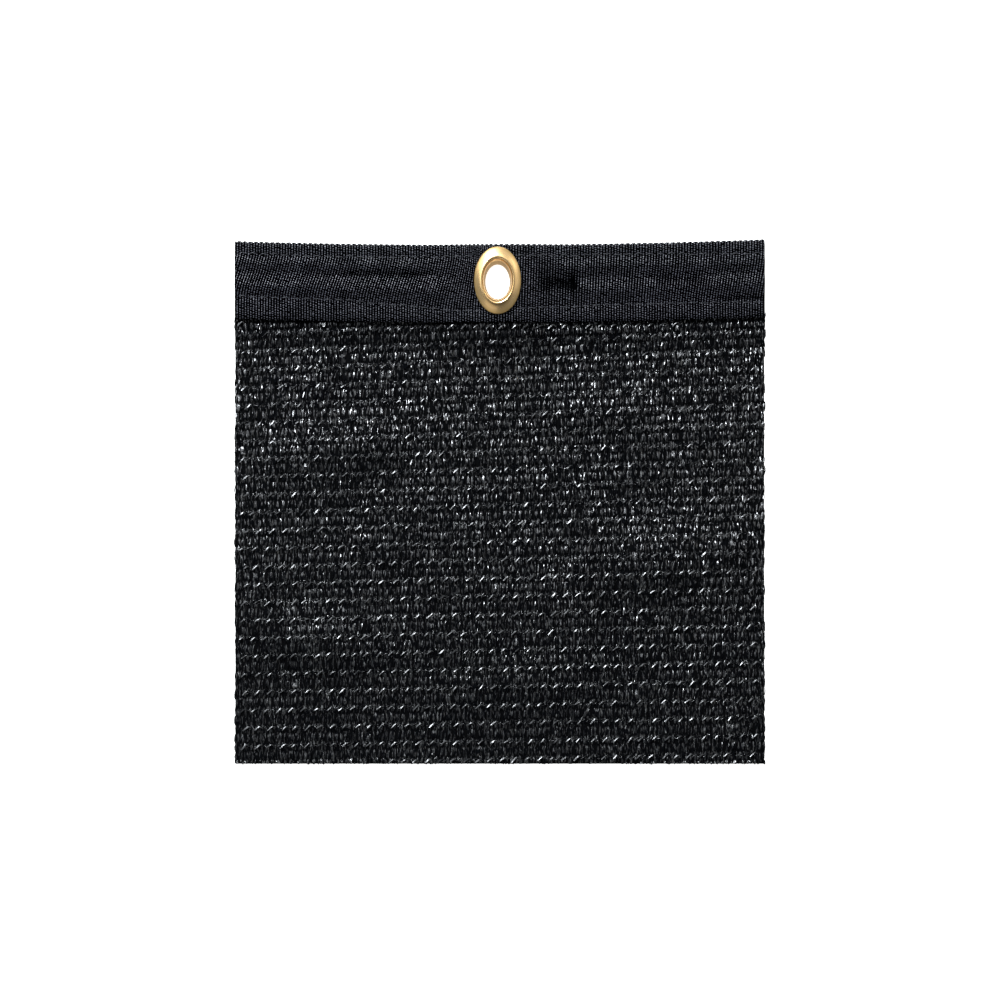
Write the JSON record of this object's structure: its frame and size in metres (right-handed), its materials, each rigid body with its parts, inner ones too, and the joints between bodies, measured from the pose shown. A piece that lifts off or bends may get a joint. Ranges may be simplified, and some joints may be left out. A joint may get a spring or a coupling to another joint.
{
  "type": "awning shade screen",
  "caption": "Cut length of black knitted awning shade screen, its top edge bound in folded ribbed webbing with a pressed brass grommet for hanging.",
  "frame": {"origin": "middle of the rectangle that the piece covers, on the surface it lies on", "axes": "+X along the bound edge, +Y from the cut end up to the bound edge, +Z out of the face"},
  "size_m": [0.168, 0.167, 0.0074],
  "materials": {
    "knit": "knitted polyethylene tape and yarn, glossy threads",
    "webbing": "ribbed woven webbing, satin",
    "brass": "polished, pale"
  },
  "bodies": {
    "root": {"shade_cloth": "knit", "edge_webbing": "webbing", "grommet": "brass", "grommet_washer": "brass"}
  },
  "joints": []
}
